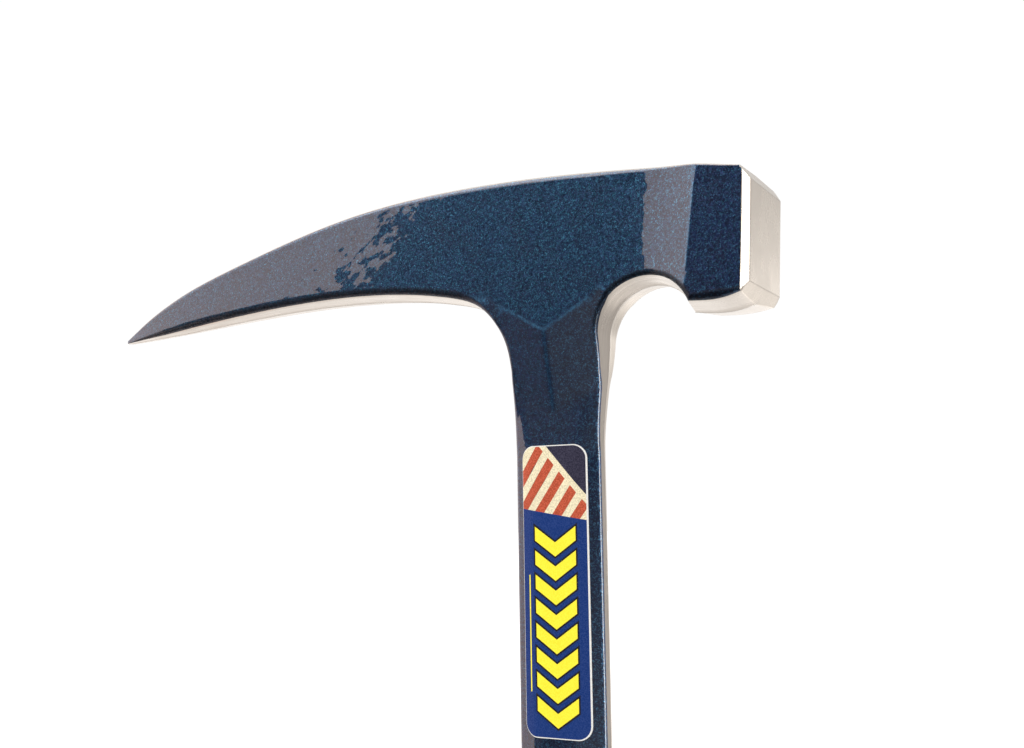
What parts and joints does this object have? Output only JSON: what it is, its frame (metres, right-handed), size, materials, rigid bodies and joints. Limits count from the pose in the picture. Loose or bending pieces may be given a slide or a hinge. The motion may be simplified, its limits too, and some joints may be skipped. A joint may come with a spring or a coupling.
{
  "type": "rock pick hammer",
  "caption": "One-piece forged steel rock hammer with a long pointed pick, a square poll, a flat painted shank and a moulded cushion grip.",
  "frame": {"origin": "middle of the flat butt face at the end of the grip, on the shank's axis", "axes": "+Z along the shank from the butt to the head, +X towards the square striking face, the pick points to -X, Y is across the thickness"},
  "size_m": [0.1785, 0.0296, 0.33],
  "materials": {
    "painted_steel": "gloss metallic blue paint on the cheeks, shank and poll sides; edges, face and bevel are bare polished steel",
    "nylon_core": "moulded",
    "vinyl_grip": "satin moulded vinyl",
    "label_film": "gloss printed film"
  },
  "bodies": {
    "root": {"forged_body": "painted_steel", "grip_core": "nylon_core", "grip_sleeve": "vinyl_grip", "label": "label_film"}
  },
  "joints": []
}
